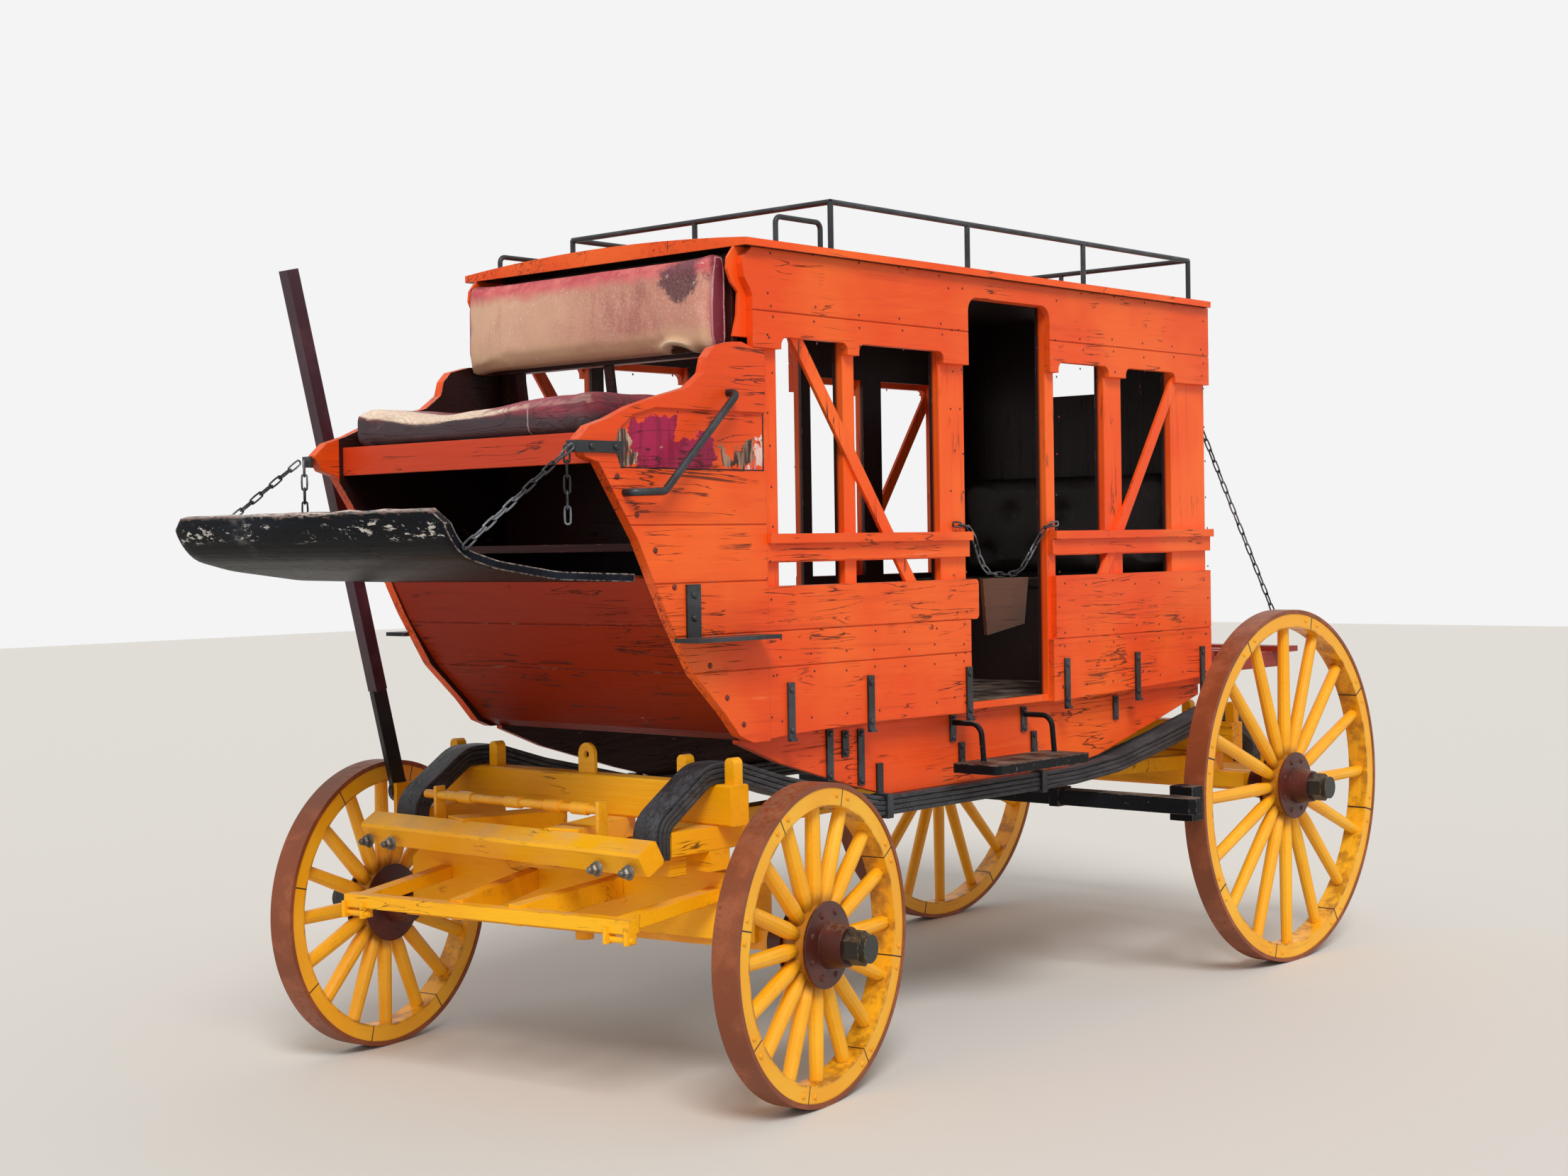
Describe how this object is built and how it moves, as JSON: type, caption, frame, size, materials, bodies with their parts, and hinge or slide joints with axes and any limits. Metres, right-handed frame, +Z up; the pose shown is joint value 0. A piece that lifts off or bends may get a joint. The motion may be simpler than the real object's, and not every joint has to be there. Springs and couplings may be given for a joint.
{
  "type": "stagecoach",
  "caption": "Open-sided horse-drawn passenger coach hung on leather bands, with spoked wooden wheels, a driver's boot with a footboard, a railed roof and a doorway closed by a chain.",
  "frame": {"origin": "centre of the bounding box at ground level", "axes": "+Z up, the coach faces -Y, its left side is +X"},
  "size_m": [1.9866, 4.472, 2.605],
  "materials": {
    "iron_tyre": "worn brown oxide paint",
    "yellow_wood": "chrome yellow paint, chipped and dusty",
    "hub_iron": "brown oxide paint",
    "yellow_iron": "chrome yellow paint over iron",
    "brace_leather": "blackened, wrinkled, layered",
    "red_wood": "orange-red paint over plank grain, chipped",
    "maroon_wood": "dark red paint, worn",
    "black_wood": "black paint chipped to bare wood",
    "inside_wood": "dark worn boards",
    "black_iron": "black paint, satin",
    "grey_iron": "bare, dull",
    "seat_leather": "burgundy, faded at the edges",
    "bench_leather": "dark brown, worn",
    "lever_paint": "maroon paint",
    "sign_wood": "bare varnished board"
  },
  "bodies": {
    "coach": {"front_bolster": "yellow_wood", "front_spring_bar": "yellow_wood", "upper_hounds": "yellow_wood", "front_standing_beam": "yellow_wood", "windlass_shaft": "yellow_iron", "thoroughbrace_left": "brace_leather", "thoroughbrace_right": "brace_leather", "reach_pole": "yellow_wood", "rear_axle": "yellow_iron", "rear_axle_bed": "yellow_wood", "rear_standing_beam": "yellow_wood", "brake_beam": "yellow_wood", "floor": "inside_wood", "lower_boards_left": "red_wood", "lower_boards_right": "red_wood", "side_frame_left": "red_wood", "side_frame_right": "red_wood", "side_boards_left": "red_wood", "side_boards_right": "red_wood", "fascia_left": "red_wood", "fascia_right": "red_wood", "front_bulkhead": "red_wood", "rear_wall": "red_wood", "roof": "red_wood", "roof_rail": "black_iron", "boot_side_left": "red_wood", "boot_side_right": "red_wood", "boot_front": "red_wood", "seat_box": "maroon_wood", "footboard": "black_wood", "seat_cushion": "seat_leather", "back_cushion": "seat_leather", "boot_irons": "black_iron", "front_bench": "inside_wood", "rear_bench": "inside_wood", "rear_back_pad": "bench_leather", "door_chain": "grey_iron", "sign_board": "sign_wood", "body_irons": "black_iron", "door_steps": "black_wood", "rear_rack": "maroon_wood", "stay_chains": "black_iron"},
    "front_gear": {"front_axle": "yellow_iron", "front_axle_bed": "yellow_wood", "fifth_wheel_lower": "yellow_iron", "splinter_frame": "yellow_wood"},
    "front_wheel_left": {"front_left_tyre": "iron_tyre", "front_left_spoked_wheel": "yellow_wood", "front_left_hub": "hub_iron"},
    "front_wheel_right": {"front_right_tyre": "iron_tyre", "front_right_spoked_wheel": "yellow_wood", "front_right_hub": "hub_iron"},
    "rear_wheel_left": {"rear_left_tyre": "iron_tyre", "rear_left_spoked_wheel": "yellow_wood", "rear_left_hub": "hub_iron"},
    "rear_wheel_right": {"rear_right_tyre": "iron_tyre", "rear_right_spoked_wheel": "yellow_wood", "rear_right_hub": "hub_iron"},
    "brake_lever": {"brake_lever": "lever_paint"}
  },
  "joints": [
    {"name": "steering", "type": "hinge", "parent": "coach", "child": "front_gear", "pos_m": [0, -1.224, 0.64], "axis": [0, 0, 1], "range_deg": [-29, 11]},
    {"name": "front_left_spin", "type": "hinge", "parent": "front_gear", "child": "front_wheel_left", "pos_m": [0.79904, -1.09744, 0.4525], "axis": [0.9877, 0.1564, 0], "continuous": true},
    {"name": "front_right_spin", "type": "hinge", "parent": "front_gear", "child": "front_wheel_right", "pos_m": [-0.79904, -1.35056, 0.4525], "axis": [0.9877, 0.1564, 0], "continuous": true},
    {"name": "rear_left_spin", "type": "hinge", "parent": "coach", "child": "rear_wheel_left", "pos_m": [0.809, 1.586, 0.65], "axis": [1, 0, 0], "continuous": true},
    {"name": "rear_right_spin", "type": "hinge", "parent": "coach", "child": "rear_wheel_right", "pos_m": [-0.809, 1.586, 0.65], "axis": [1, 0, 0], "continuous": true},
    {"name": "brake_lever_pull", "type": "hinge", "parent": "coach", "child": "brake_lever", "pos_m": [-0.7, -1.357, 0.815], "axis": [1, 0, 0], "range_deg": [-12, 8]}
  ]
}
